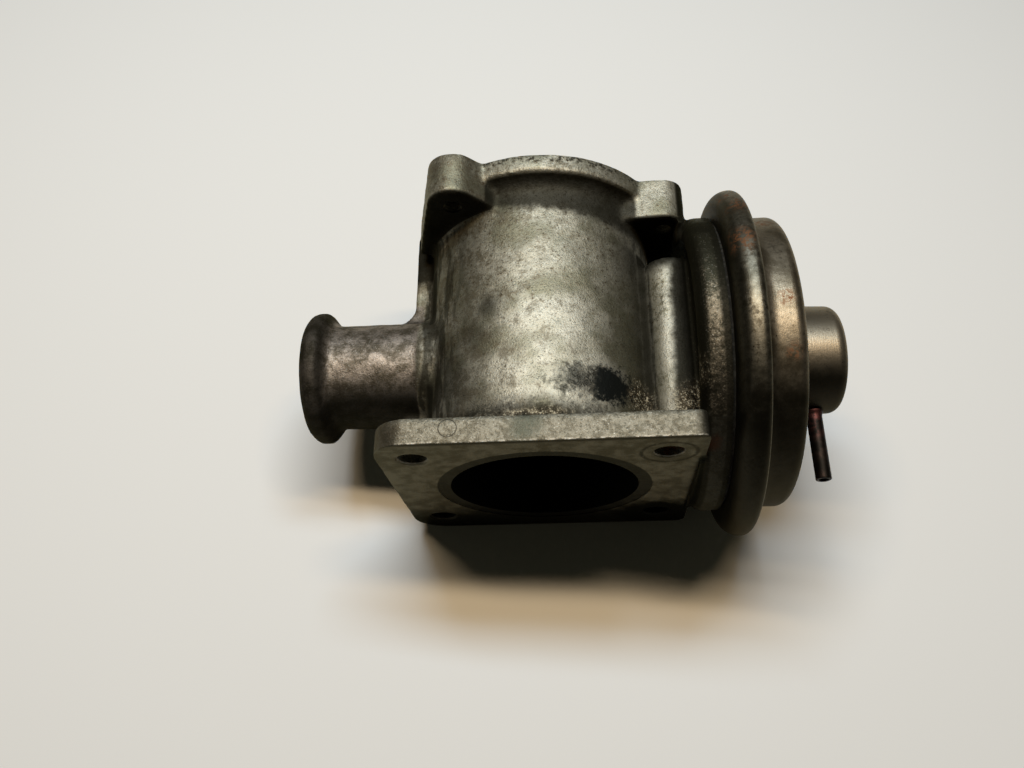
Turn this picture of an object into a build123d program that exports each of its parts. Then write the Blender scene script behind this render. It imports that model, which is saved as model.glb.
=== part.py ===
"""Vacuum-operated exhaust gas recirculation valve with its own length of intake tube.

Frame, in millimetres: X runs along the valve stem, from the exhaust neck (-X) to the vacuum
actuator (+X). Y runs along the intake tube, from the manifold flange's sealing face (y = 0) to the
hose flange. Z is up. The origin is the centre of the intake bore on the manifold face.
"""

from math import acos, cos, degrees, radians, sin
import os

from build123d import *

# intake tube and its two flanges
BORE_R = 25.0
TUBE_R = 31.6
TUBE_LENGTH = 81.7
FLANGE_HALF_X = 40.0
FLANGE_HALF_Z = 36.3
FLANGE_THICK = 6.8
FLANGE_CORNER_R = 9.0
FLANGE_CORNER_R_DISH = 2.5
BOLT_HALF_X = 31.1
BOLT_HALF_Z = 25.4
BOLT_HOLE_R = 3.6
HOSE_FLANGE_R = 35.9
HOSE_FLANGE_THICK = 5.1
COVE_R = 4.3
EDGE_R = 0.8
ROOT_R = 1.6

# threaded lugs of the hose flange: angle from +X towards +Z, radius, direction of the inner flank
LUG_CIRCLE_R = 38.4
LUG_HEIGHT = 12.4
LUG_HOLE_R = 2.5
LUGS = [(125.0, 6.9, 45.0), (24.2, 6.3, 93.0), (254.6, 6.9, None)]
LUG_JOINT_R = 33.5
LUG_ZONE = (14.0, 28.0)
LUG_ZONE_X = 41.4

# exhaust neck with its clamp bead
STEM_Y = 34.5
NECK_R = 14.8
NECK_END_X = -64.9
BEAD_R = 18.75
BEAD_X = (-63.6, -60.6)
GAS_BORE_R = 11.0
NECK_COLLAR_X = -33.4
NECK_RIB_X = -36.2
NECK_RIB_HALF_Z = 5.0
NECK_RIB_FILLET_R = 6.0
NECK_RIB_EDGE_R = 1.8

# valve seat and poppet
SEAT_X = (-31.0, -27.0)
SEAT_OUTER_R = 12.5
SEAT_BORE_R = 9.5
SEAT_FACE = 1.3
DISC_R = 11.2
DISC_THICK = 2.4
STEM_R = 3.0
STEM_END_R = 2.5
TRAVEL = 6.0

# bridge between tube and dish, which carries the stem guide
BRIDGE_X = (29.0, 42.2)
BRIDGE_HALF_Z = 20.4
BRIDGE_TOP_Y = 57.6
GUIDE_BOSS_X = 19.5
GUIDE_BOSS_R = 8.0
BUSH_R = 5.0
SEAL_X = 42.0
SEAL_R = 6.4

# dish that carries the actuator
DISH_R = 40.3
DISH_X = (39.0, 46.2)
DISH_EDGE_R = 3.6
DISH_WEB_X = 41.2
DISH_WEB_R = 33.0
GASKET_THICK = 0.8
SCREW_CIRCLE_R = 32.8
SCREW_R = 1.9
SCREW_HEAD_R = 3.4
SCREW_HEAD_THICK = 2.1
SCREW_DEPTH = 4.6

# sheet steel actuator
SHEET = 1.0
PAN_X = DISH_X[1] + GASKET_THICK
PAN_HOLE_R = 7.5
RIM_R = 47.3
RIM_END_X = 54.2
RIM_LIP_R = 45.0
COVER_FLANGE_R = 45.95
DRUM_R = 39.65
DRUM_END_X = 64.4
HUB_ROOT_R = 15.4
HUB_R = 14.7
HUB_END_X = 80.9
NIPPLE_X = 73.0
NIPPLE_R = 2.05
NIPPLE_BORE_R = 1.25
NIPPLE_INSERT_R = 13.3
NIPPLE_SPIGOT_R = 1.8
NIPPLE_COLLAR_R = 2.75
NIPPLE_COLLAR_Y = (18.0, 19.3)

# diaphragm stack on the stem, from left to right
RUBBER = 0.8
STACK_X = 48.3
PISTON_R = 27.4
BEAD_PAD_X = 48.1
BEAD_END_X = 52.18
LOOP_X = 58.0
LOOP_R = 38.2
CUP_RIM_X = 56.4
NUT_THICK = 4.0
NUT_ACROSS_FLATS = 8.0

# return spring between the piston cup and its seat in the hub
SPRING_R = 11.0
SPRING_WIRE_R = 1.0
SPRING_TURNS = 5.5
SPRING_SEAT_X = 78.8

RUNNING = 0.05
GAP = 0.02
SEAL_GAP = 0.05

STEM_PLANE = Plane(origin=(0, STEM_Y, 0), x_dir=(1, 0, 0), z_dir=(0, -1, 0))
STEM_AXIS = Axis((0, STEM_Y, 0), (1, 0, 0))
# through the tube's axis at 75 degrees from +X, clear of every web: local x is radius, local y is Y
TUBE_PLANE = Plane.XY.rotated((0, -75, 0))
BORE_AXIS = Axis((0, 0, 0), (0, 1, 0))


def along_tube(y):
    """Plane across the intake tube: local x is X, local y is Z, and it faces the manifold."""
    return Plane(origin=(0, y, 0), x_dir=(1, 0, 0), z_dir=(0, -1, 0))


def along_stem(x):
    """Plane across the stem axis: local x is Y, local y is Z, and it faces the actuator."""
    return Plane(origin=(x, STEM_Y, 0), x_dir=(0, 1, 0), z_dir=(1, 0, 0))


def polar(radius, angle):
    """Point at an angle in degrees, in the plane across the tube."""
    return (radius * cos(radians(angle)), radius * sin(radians(angle)))


def lug_outline(angle, lug_r, flank):
    """Web of a lug: its outer sides touch the round flange, its inner flank is straight."""
    centre = Vector(*polar(LUG_CIRCLE_R, angle))
    spread = degrees(acos((HOSE_FLANGE_R - lug_r) / LUG_CIRCLE_R))
    side = 1 if flank is None or (flank - angle) % 360 > 180 else -1
    outer = Vector(*polar(1, angle + side * spread))
    if flank is None:
        inner = Vector(*polar(1, angle - side * spread))
        inner_end = inner * HOSE_FLANGE_R
    else:
        inner = Vector(*polar(1, flank))
        inner_end = centre + inner * lug_r + Vector(inner.Y, -inner.X) * (side * 2 * lug_r)
    return [centre + outer * lug_r, outer * HOSE_FLANGE_R, (0, 0), inner_end, centre + inner * lug_r]


def export(name, piece):
    """Names a finished piece and writes its STEP file."""
    piece.label = name
    export_step(piece, f"parts/{name}.step")
    print(f"{name}: {len(piece.solids())} solid(s), {piece.volume / 1000:.2f} cm3")


os.makedirs("parts", exist_ok=True)

# ------------------------------------------------------------------ pieces of the cast housing
with BuildPart() as manifold_flange:
    with BuildSketch(along_tube(FLANGE_THICK)) as manifold_outline:
        Rectangle(2 * FLANGE_HALF_X, 2 * FLANGE_HALF_Z)
        corners = manifold_outline.vertices().group_by(Axis.X)
        fillet(corners[0], FLANGE_CORNER_R)
        fillet(corners[-1], FLANGE_CORNER_R_DISH)
    extrude(amount=FLANGE_THICK)
    fillet(manifold_flange.faces().sort_by(Axis.Y)[-1].edges(), EDGE_R)
    chamfer(manifold_flange.faces().sort_by(Axis.Y)[0].edges(), 0.5)

# tube with the round hose flange, whose underside is a cove; each lug is a pillar with a web
with BuildPart() as tube:
    with BuildSketch(TUBE_PLANE):
        with BuildLine():
            rim_y = TUBE_LENGTH - HOSE_FLANGE_THICK
            Polyline((0, 0), (TUBE_R, 0), (TUBE_R, rim_y - COVE_R))
            RadiusArc((TUBE_R, rim_y - COVE_R), (HOSE_FLANGE_R, rim_y), -COVE_R)
            Polyline((HOSE_FLANGE_R, rim_y), (HOSE_FLANGE_R, TUBE_LENGTH), (0, TUBE_LENGTH), (0, 0))
        make_face()
    revolve(axis=BORE_AXIS)
    with BuildSketch(along_tube(TUBE_LENGTH)):
        for lug_angle, lug_r, lug_flank in LUGS:
            with Locations(polar(LUG_CIRCLE_R, lug_angle)):
                Circle(lug_r)
            with BuildLine():
                Polyline(*lug_outline(lug_angle, lug_r, lug_flank), close=True)
            make_face()
    extrude(amount=LUG_HEIGHT)
    fillet(tube.faces().sort_by(Axis.Y)[-1].edges(), EDGE_R)

# a plate on the tube's flank that flows into the neck through a round cove on each side
rib_root_x = NECK_RIB_X - NECK_RIB_FILLET_R
rib_top_y = TUBE_LENGTH - HOSE_FLANGE_THICK
with BuildPart() as neck_rib:
    with BuildSketch(along_tube(rib_top_y)):
        with Locations(((rib_root_x - 26) / 2, 0)):
            Rectangle(-26 - rib_root_x, 2 * NECK_RIB_HALF_Z)
    extrude(amount=rib_top_y - FLANGE_THICK)
    with BuildSketch(STEM_PLANE):
        with BuildLine():
            cove_top = NECK_R + NECK_RIB_FILLET_R
            Line((rib_root_x, 0), (rib_root_x, NECK_R))
            RadiusArc((rib_root_x, NECK_R), (NECK_RIB_X, cove_top), NECK_RIB_FILLET_R)
            Polyline((NECK_RIB_X, cove_top), (NECK_RIB_X, 60), (-20, 60), (-20, 0), (rib_root_x, 0))
        make_face()
    revolve(axis=STEM_AXIS, mode=Mode.INTERSECT)
    rib_corners = neck_rib.edges().filter_by(Axis.Y).filter_by_position(Axis.X, NECK_RIB_X - 0.1, NECK_RIB_X + 0.1)
    fillet(rib_corners, NECK_RIB_EDGE_R)

# ------------------------------------------------------------------------------- whole casting
with BuildPart() as casting:
    add(manifold_flange.part)
    add(tube.part)
    tube_root = casting.edges().filter_by(GeomType.CIRCLE).filter_by_position(Axis.Y, 6, 7.5)
    fillet(tube_root.sort_by(SortBy.LENGTH)[-1], ROOT_R)

    # exhaust neck with its clamp bead and a collar at its root
    with BuildSketch(STEM_PLANE):
        with BuildLine():
            Polyline(
                (-20, 0),
                (NECK_END_X, 0),
                (NECK_END_X, BEAD_R - 1.5),
                (BEAD_X[0], BEAD_R),
                (BEAD_X[1], BEAD_R),
                (BEAD_X[1] + 2.9, NECK_R),
                (NECK_COLLAR_X, NECK_R),
                (NECK_COLLAR_X + 1, NECK_R + 1),
                (-20, NECK_R + 1),
                (-20, 0),
            )
        make_face()
    revolve(axis=STEM_AXIS)
    add(neck_rib.part)

    # bridge from the tube to the dish, rounded on its upper and lower sides
    with BuildSketch(along_tube(BRIDGE_TOP_Y)):
        with Locations(((BRIDGE_X[0] + BRIDGE_X[1]) / 2, 0)):
            SlotOverall(2 * BRIDGE_HALF_Z, BRIDGE_X[1] - BRIDGE_X[0], rotation=90)
        with Locations(((BORE_R + BRIDGE_X[1]) / 2, 0)):
            Rectangle(BRIDGE_X[1] - BORE_R, BRIDGE_HALF_Z)
    extrude(amount=BRIDGE_TOP_Y - FLANGE_THICK / 2)

    # dish, thinner inside its rounded edge
    with BuildSketch(STEM_PLANE) as dish_section:
        with BuildLine():
            Polyline(
                (DISH_X[1], 0),
                (DISH_WEB_X, 0),
                (DISH_WEB_X, DISH_WEB_R),
                (DISH_X[0], DISH_WEB_R + 1.5),
                (DISH_X[0], DISH_R),
                (DISH_X[1], DISH_R),
                (DISH_X[1], 0),
            )
        make_face()
        fillet(dish_section.vertices().sort_by_distance((DISH_X[0], DISH_R))[0], DISH_EDGE_R)
    revolve(axis=STEM_AXIS)

    # intake bore, with the stem guide's boss standing in it
    with BuildSketch(TUBE_PLANE):
        with Locations((BORE_R / 2, TUBE_LENGTH / 2)):
            Rectangle(BORE_R, TUBE_LENGTH)
    revolve(axis=BORE_AXIS, mode=Mode.SUBTRACT)
    with BuildSketch(along_stem(GUIDE_BOSS_X)):
        Circle(GUIDE_BOSS_R)
    extrude(amount=BRIDGE_X[0] - GUIDE_BOSS_X)

    # gas passage, seat pocket, bush bore and seal pocket along the stem axis
    with BuildSketch(STEM_PLANE):
        with BuildLine():
            Polyline(
                (NECK_END_X, 0),
                (NECK_END_X, GAS_BORE_R + 0.8),
                (NECK_END_X + 0.8, GAS_BORE_R),
                (SEAT_X[0], GAS_BORE_R),
                (SEAT_X[0], SEAT_OUTER_R),
                (-10, SEAT_OUTER_R),
                (-10, BUSH_R),
                (SEAL_X, BUSH_R),
                (SEAL_X, SEAL_R),
                (DISH_X[1], SEAL_R),
                (DISH_X[1], 0),
                (NECK_END_X, 0),
            )
        make_face()
    revolve(axis=STEM_AXIS, mode=Mode.SUBTRACT)

    # bolt holes, tapped lugs and screw holes
    with BuildSketch(along_tube(FLANGE_THICK)):
        with GridLocations(2 * BOLT_HALF_X, 2 * BOLT_HALF_Z, 2, 2):
            Circle(BOLT_HOLE_R)
    extrude(amount=FLANGE_THICK, mode=Mode.SUBTRACT)
    with BuildSketch(along_tube(TUBE_LENGTH)):
        for lug_angle, lug_r, lug_flank in LUGS:
            with Locations(polar(LUG_CIRCLE_R, lug_angle)):
                Circle(LUG_HOLE_R)
    extrude(amount=LUG_HEIGHT, mode=Mode.SUBTRACT)
    with BuildSketch(along_stem(DISH_X[1])):
        with PolarLocations(SCREW_CIRCLE_R, 3):
            Circle(SCREW_R)
    extrude(amount=-SCREW_DEPTH, mode=Mode.SUBTRACT)

# the casting is kept as four nodes that meet on flat joints: neck, dish, lugs and the rest
neck_joint = Plane(origin=(rib_root_x, 0, 0), x_dir=(0, 1, 0), z_dir=(1, 0, 0))
dish_joint = Plane(origin=(DISH_X[0], 0, 0), x_dir=(0, 1, 0), z_dir=(1, 0, 0))
with BuildPart() as lug_zone:
    with BuildSketch(along_tube(TUBE_LENGTH)):
        for lug_angle, lug_r, lug_flank in LUGS:
            with Locations(polar(LUG_JOINT_R + LUG_ZONE[0] / 2, lug_angle)):
                Rectangle(*LUG_ZONE, rotation=lug_angle)
        with Locations((LUG_ZONE_X + LUG_ZONE[0] / 2, 0)):
            Rectangle(LUG_ZONE[0], 2 * DISH_R, mode=Mode.SUBTRACT)
    extrude(amount=LUG_HEIGHT)

with BuildPart() as housing:
    add(casting.part)
    split(bisect_by=neck_joint, keep=Keep.TOP)
    split(bisect_by=dish_joint, keep=Keep.BOTTOM)
    add(lug_zone.part, mode=Mode.SUBTRACT)
export("housing", housing.part)

with BuildPart() as exhaust_neck:
    add(casting.part)
    split(bisect_by=neck_joint, keep=Keep.BOTTOM)
export("exhaust_neck", exhaust_neck.part)

with BuildPart() as actuator_dish:
    add(casting.part)
    split(bisect_by=dish_joint, keep=Keep.TOP)
    add(lug_zone.part, mode=Mode.SUBTRACT)
export("actuator_dish", actuator_dish.part)

with BuildPart() as screw_lugs:
    add(casting.part)
    add(lug_zone.part, mode=Mode.INTERSECT)
export("screw_lugs", screw_lugs.part)

# ----------------------------------------------------------------------- valve seat and poppet
with BuildPart() as seat_ring:
    with BuildSketch(STEM_PLANE):
        with BuildLine():
            Polyline(
                (SEAT_X[0], SEAT_BORE_R),
                (SEAT_X[0], SEAT_OUTER_R),
                (SEAT_X[1], SEAT_OUTER_R),
                (SEAT_X[1], SEAT_BORE_R + SEAT_FACE),
                (SEAT_X[1] - SEAT_FACE, SEAT_BORE_R),
                (SEAT_X[0], SEAT_BORE_R),
            )
        make_face()
    revolve(axis=STEM_AXIS)
export("seat_ring", seat_ring.part)

disc_x = SEAT_X[1] - SEAT_FACE / 2 + SEAL_GAP
disc_face_r = SEAT_BORE_R + SEAT_FACE / 2 - SEAL_GAP
with BuildPart() as valve_disc:
    with BuildSketch(STEM_PLANE):
        with BuildLine():
            Polyline(
                (disc_x, STEM_END_R),
                (disc_x, disc_face_r),
                (disc_x + DISC_R - disc_face_r, DISC_R),
                (disc_x + DISC_THICK, DISC_R),
                (disc_x + DISC_THICK + 1.4, STEM_R + 2.5),
                (disc_x + DISC_THICK + 1.4, STEM_END_R),
                (disc_x, STEM_END_R),
            )
        make_face()
    revolve(axis=STEM_AXIS)
export("valve_disc", valve_disc.part)

shoulder_x = disc_x + DISC_THICK + 1.4
thread_end_x = STACK_X + 3 * SHEET + RUBBER + NUT_THICK + 1.5
with BuildPart() as valve_stem:
    with BuildSketch(STEM_PLANE):
        with BuildLine():
            Polyline(
                (disc_x - 1.6, 0),
                (disc_x - 1.6, STEM_END_R),
                (disc_x, STEM_R + 1.2),
                (disc_x, STEM_END_R),
                (shoulder_x, STEM_END_R),
                (shoulder_x, STEM_R),
                (STACK_X, STEM_R),
                (STACK_X, STEM_END_R),
                (thread_end_x - 0.5, STEM_END_R),
                (thread_end_x, STEM_END_R - 0.5),
                (thread_end_x, 0),
                (disc_x - 1.6, 0),
            )
        make_face()
    revolve(axis=STEM_AXIS)
export("valve_stem", valve_stem.part)


# ----------------------------------------------------------------- stem guide and its seals
def ring(x_from, x_to, r_inner, r_outer):
    """Face of a plain ring about the stem, to be revolved."""
    with Locations(((x_from + x_to) / 2, (r_inner + r_outer) / 2)):
        return Rectangle(x_to - x_from, r_outer - r_inner)


with BuildPart() as guide_bush:
    with BuildSketch(STEM_PLANE) as bush_section:
        ring(GUIDE_BOSS_X, SEAL_X, STEM_R + RUNNING, BUSH_R)
        chamfer(bush_section.vertices().group_by(Axis.Y)[-1], 0.4)
    revolve(axis=STEM_AXIS)
export("guide_bush", guide_bush.part)

shield_x = GUIDE_BOSS_X - 2.2
with BuildPart() as dirt_shield:
    with BuildSketch(STEM_PLANE):
        with BuildLine():
            shield_skin = FilletPolyline(
                (shield_x, STEM_R + 0.6),
                (shield_x, GUIDE_BOSS_R + GAP + 0.7),
                (GUIDE_BOSS_X + 3.5, GUIDE_BOSS_R + GAP + 0.7),
                radius=1.6,
            )
            offset(shield_skin, amount=0.7, side=Side.RIGHT)
        make_face()
    revolve(axis=STEM_AXIS)
export("dirt_shield", dirt_shield.part)

with BuildPart() as stem_scraper:
    with BuildSketch(STEM_PLANE) as scraper_section:
        ring(shield_x + 0.7, GUIDE_BOSS_X, STEM_R + RUNNING, GUIDE_BOSS_R - 1.8)
        chamfer(scraper_section.vertices().sort_by_distance((shield_x, 0))[0], 0.5)
    revolve(axis=STEM_AXIS)
export("stem_scraper", stem_scraper.part)

seal_end_x = DISH_X[1] - 1.0
with BuildPart() as stem_seal:
    with BuildSketch(STEM_PLANE) as seal_section:
        ring(SEAL_X, seal_end_x, STEM_R + RUNNING, SEAL_R)
        chamfer(seal_section.vertices().group_by(Axis.Y)[0], 0.7)
    revolve(axis=STEM_AXIS)
export("stem_seal", stem_seal.part)

with BuildPart() as seal_retainer:
    with BuildSketch(STEM_PLANE):
        ring(seal_end_x, DISH_X[1], STEM_R + 0.8, SEAL_R)
    revolve(axis=STEM_AXIS)
export("seal_retainer", seal_retainer.part)

# ------------------------------------------------------- insulating gasket, pan and its screws
with BuildPart() as heat_gasket:
    with BuildSketch(along_stem(DISH_X[1])):
        Circle(DISH_R - 1.2)
        Circle(PAN_HOLE_R, mode=Mode.SUBTRACT)
        with PolarLocations(SCREW_CIRCLE_R, 3):
            Circle(SCREW_R + 0.3, mode=Mode.SUBTRACT)
    extrude(amount=GASKET_THICK)
export("heat_gasket", heat_gasket.part)

with BuildPart() as lower_pan:
    with BuildSketch(STEM_PLANE):
        with BuildLine():
            pan_skin = FilletPolyline(
                (PAN_X, PAN_HOLE_R),
                (PAN_X, RIM_R),
                (RIM_END_X, RIM_R),
                (RIM_END_X, RIM_LIP_R),
                radius=[4.8, 2.2],
            )
            offset(pan_skin, amount=SHEET, side=Side.RIGHT)
        make_face()
    revolve(axis=STEM_AXIS)
    with BuildSketch(along_stem(PAN_X)):
        with PolarLocations(SCREW_CIRCLE_R, 3):
            Circle(SCREW_R + 0.3)
        with PolarLocations(SCREW_CIRCLE_R, 3, start_angle=60):
            Circle(2.0)
    extrude(amount=SHEET, mode=Mode.SUBTRACT)
export("lower_pan", lower_pan.part)

with BuildPart() as pan_screws:
    head_x = PAN_X + SHEET
    with BuildSketch(along_stem(head_x)):
        with PolarLocations(SCREW_CIRCLE_R, 3):
            Circle(SCREW_HEAD_R)
    extrude(amount=SCREW_HEAD_THICK)
    chamfer(pan_screws.edges().filter_by(GeomType.CIRCLE).group_by(Axis.X)[-1], 0.7)
    with BuildSketch(along_stem(head_x)):
        with PolarLocations(SCREW_CIRCLE_R, 3):
            Circle(SCREW_R)
    extrude(amount=DISH_X[1] - SCREW_DEPTH + 0.4 - head_x)
    with BuildSketch(along_stem(head_x + SCREW_HEAD_THICK)):
        with PolarLocations(SCREW_CIRCLE_R, 3):
            RegularPolygon(1.5, 6)
    extrude(amount=-1.2, mode=Mode.SUBTRACT)
export("pan_screws", pan_screws.part)

# ----------------------------------------------------------------- diaphragm stack on the stem
diaphragm_x = STACK_X + SHEET
cup_x = diaphragm_x + RUBBER
washer_x = cup_x + SHEET
nut_x = washer_x + SHEET

with BuildPart() as backing_plate:
    with BuildSketch(STEM_PLANE) as plate_section:
        ring(STACK_X, diaphragm_x, STEM_END_R + GAP, PISTON_R - 2.4)
        chamfer(plate_section.vertices().sort_by_distance((STACK_X, PISTON_R))[0], 0.4)
    revolve(axis=STEM_AXIS)
export("backing_plate", backing_plate.part)

# one rubber sheet: clamped at the centre, over the cup's wall, round its loop, out to the rim bead
with BuildPart() as diaphragm:
    with BuildSketch(STEM_PLANE) as bead_section:
        ring(BEAD_PAD_X, BEAD_END_X, 42.0, 46.1)
        fillet(bead_section.vertices().sort_by_distance((BEAD_PAD_X, 46.1))[0], 3.6)
        with BuildLine():
            rubber_skin = FilletPolyline(
                (51.9, 43.4),
                (51.9, LOOP_R),
                (LOOP_X, LOOP_R),
                (LOOP_X, PISTON_R),
                (cup_x, PISTON_R),
                (cup_x, STEM_END_R + GAP),
                radius=[1.4, 4.8, 4.8, 1.6],
            )
            offset(rubber_skin, amount=RUBBER, side=Side.RIGHT)
        make_face()
    revolve(axis=STEM_AXIS)
export("diaphragm", diaphragm.part)

with BuildPart() as piston_cup:
    with BuildSketch(STEM_PLANE):
        with BuildLine():
            cup_skin = FilletPolyline(
                (cup_x, STEM_END_R + GAP),
                (cup_x, PISTON_R),
                (CUP_RIM_X, PISTON_R),
                radius=1.6,
            )
            offset(cup_skin, amount=SHEET, side=Side.RIGHT)
        make_face()
    revolve(axis=STEM_AXIS)
export("piston_cup", piston_cup.part)

with BuildPart() as stem_washer:
    with BuildSketch(STEM_PLANE):
        ring(washer_x, nut_x, STEM_END_R + GAP, 6.0)
    revolve(axis=STEM_AXIS)
export("stem_washer", stem_washer.part)

with BuildPart() as stem_nut:
    with BuildSketch(along_stem(nut_x)):
        RegularPolygon(NUT_ACROSS_FLATS / 2, 6, major_radius=False)
        Circle(STEM_END_R + GAP, mode=Mode.SUBTRACT)
    extrude(amount=NUT_THICK)
    with BuildSketch(STEM_PLANE) as nut_turning:
        ring(nut_x, nut_x + NUT_THICK, 0, NUT_ACROSS_FLATS / 2 + 0.5)
        chamfer(nut_turning.vertices().group_by(Axis.Y)[-1], 0.5)
    revolve(axis=STEM_AXIS, mode=Mode.INTERSECT)
export("stem_nut", stem_nut.part)

# --------------------------------------------------------------------- return spring and seat
spring_x = cup_x + SHEET
spring_length = SPRING_SEAT_X - spring_x
pitch = spring_length / SPRING_TURNS
with BuildPart() as return_spring:
    # the wire runs half a turn past each end and is ground flat there
    with BuildLine(along_stem(spring_x - pitch / 4)) as coil:
        Helix(pitch, spring_length + pitch / 2, SPRING_R, direction=(1, 0, 0))
    with BuildSketch(Plane(origin=coil.line @ 0, z_dir=coil.line % 0)):
        Circle(SPRING_WIRE_R)
    sweep(is_frenet=True)
    with BuildSketch(STEM_PLANE):
        ring(spring_x, SPRING_SEAT_X, 0, SPRING_R + 3)
    revolve(axis=STEM_AXIS, mode=Mode.INTERSECT)
export("return_spring", return_spring.part)

with BuildPart() as spring_seat:
    with BuildSketch(STEM_PLANE):
        with BuildLine():
            seat_skin = FilletPolyline(
                (SPRING_SEAT_X, SPRING_R + SPRING_WIRE_R),
                (SPRING_SEAT_X, SPRING_R - SPRING_WIRE_R - 0.8),
                (SPRING_SEAT_X - 3.5, SPRING_R - SPRING_WIRE_R - 1.2),
                radius=0.8,
            )
            offset(seat_skin, amount=SHEET, side=Side.LEFT)
        make_face()
    revolve(axis=STEM_AXIS)
export("spring_seat", spring_seat.part)

# ------------------------------------------------------------------- drawn cover and nipple
with BuildPart() as cover:
    with BuildSketch(STEM_PLANE) as cover_section:
        with BuildLine():
            cover_skin = FilletPolyline(
                (RIM_END_X - SHEET, COVER_FLANGE_R),
                (RIM_END_X - SHEET, DRUM_R),
                (DRUM_END_X, DRUM_R),
                (DRUM_END_X, HUB_ROOT_R),
                (HUB_END_X, HUB_R),
                (HUB_END_X, 0),
                radius=[4.6, 3.0, 1.5, 3.2],
            )
            offset(cover_skin, amount=SHEET, side=Side.RIGHT)
        make_face()
        flange_corner = cover_section.vertices().group_by(Axis.Y)[-1].sort_by(Axis.X)[-1]
        fillet(flange_corner, SHEET - 0.1)
    revolve(axis=STEM_AXIS)
    with BuildSketch(Plane(origin=(NIPPLE_X, STEM_Y, 0), x_dir=(1, 0, 0), z_dir=(0, -1, 0))):
        Circle(NIPPLE_SPIGOT_R + GAP)
    extrude(amount=DRUM_R, mode=Mode.SUBTRACT)
export("cover", cover.part)

# tube with a collar that seats on the hub and a spigot through its wall
with BuildPart() as vacuum_nipple:
    with BuildSketch(Plane.XY):
        with BuildLine():
            Polyline(
                (NIPPLE_X + NIPPLE_BORE_R, 0),
                (NIPPLE_X + NIPPLE_R - 0.3, 0),
                (NIPPLE_X + NIPPLE_R, 0.3),
                (NIPPLE_X + NIPPLE_R, NIPPLE_COLLAR_Y[0]),
                (NIPPLE_X + NIPPLE_COLLAR_R, NIPPLE_COLLAR_Y[1]),
                (NIPPLE_X + NIPPLE_SPIGOT_R, NIPPLE_COLLAR_Y[1]),
                (NIPPLE_X + NIPPLE_SPIGOT_R, STEM_Y - NIPPLE_INSERT_R),
                (NIPPLE_X + NIPPLE_BORE_R, STEM_Y - NIPPLE_INSERT_R),
                (NIPPLE_X + NIPPLE_BORE_R, 0),
            )
        make_face()
    revolve(axis=Axis((NIPPLE_X, 0, 0), (0, 1, 0)))
export("vacuum_nipple", vacuum_nipple.part)
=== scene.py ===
from math import acos, cos, degrees, radians, sin, tau

import bmesh
import bpy
from mathutils import Matrix, Vector


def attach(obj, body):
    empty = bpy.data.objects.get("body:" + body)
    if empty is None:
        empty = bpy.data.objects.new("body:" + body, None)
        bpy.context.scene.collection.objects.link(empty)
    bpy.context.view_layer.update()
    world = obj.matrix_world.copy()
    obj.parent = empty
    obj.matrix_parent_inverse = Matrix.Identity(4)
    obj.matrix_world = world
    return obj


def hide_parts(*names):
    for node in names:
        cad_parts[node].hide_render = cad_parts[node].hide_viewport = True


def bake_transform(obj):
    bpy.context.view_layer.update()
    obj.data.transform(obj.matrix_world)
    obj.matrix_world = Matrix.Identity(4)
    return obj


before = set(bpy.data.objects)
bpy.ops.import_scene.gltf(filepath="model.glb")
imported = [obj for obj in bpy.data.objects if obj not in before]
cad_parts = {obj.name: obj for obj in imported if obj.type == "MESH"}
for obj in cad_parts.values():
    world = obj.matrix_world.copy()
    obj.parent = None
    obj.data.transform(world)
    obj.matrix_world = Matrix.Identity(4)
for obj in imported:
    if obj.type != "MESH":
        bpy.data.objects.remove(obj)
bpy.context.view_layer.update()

# ---- Camera
# A hand-held view from above the manifold face, with the exhaust neck to the left. Sizes are in mm
# here and below, and MM makes them metres.
MM = 0.001
EYE = Vector((9.776, -70.473, 225.289))
camera_data = bpy.data.cameras.new("camera")
camera_data.sensor_width = 36
camera_data.lens = 30.83
camera_data.clip_start = 0.01
camera = bpy.data.objects.new("camera", camera_data)
to_right = Vector((0.99655, -0.00318, -0.08291))
to_top = Vector((0.03677, 0.91270, 0.40697))
backwards = to_right.cross(to_top).normalized()
to_top = backwards.cross(to_right).normalized()
facing = Matrix((to_right, to_top, backwards)).transposed().to_4x4()
camera.matrix_world = Matrix.Translation(EYE * MM) @ facing
bpy.context.scene.collection.objects.link(camera)
bpy.context.scene.camera = camera
bpy.context.scene.view_settings.view_transform = "Standard"


# ---- Floor
# A sheet of white paper. The valve rests on it on its can, its third lug and a flange corner, so it
# lies a little tilted to the valve's own axes.
class Wire:
    """A shader socket that can be used in plain arithmetic."""

    def __init__(self, shop, socket):
        self.shop = shop
        self.socket = socket

    def maths(self, operation, *terms):
        return self.shop.node("ShaderNodeMath", {"operation": operation}, dict(enumerate(terms)))

    def __add__(self, other):
        return self.maths("ADD", self, other)

    __radd__ = __add__

    def __sub__(self, other):
        return self.maths("SUBTRACT", self, other)

    def __rsub__(self, other):
        return self.maths("SUBTRACT", other, self)

    def __mul__(self, other):
        return self.maths("MULTIPLY", self, other)

    __rmul__ = __mul__

    def __truediv__(self, other):
        return self.maths("DIVIDE", self, other)

    def __pow__(self, other):
        return self.maths("POWER", self, other)

    def __abs__(self):
        return self.maths("ABSOLUTE", self)

    def above(self, low, high):
        """0 below low, 1 above high, and smooth between them."""
        return self.shop.node("ShaderNodeMapRange", {"interpolation_type": "SMOOTHSTEP"},
                              {"Value": self, "From Min": low, "From Max": high})

    def below(self, low, high):
        """1 below low, 0 above high, and smooth between them."""
        return 1 - self.above(low, high)

    def most(self, other):
        """The larger of two values, which lays one mask over another."""
        return self.maths("MAXIMUM", self, other)


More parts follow.
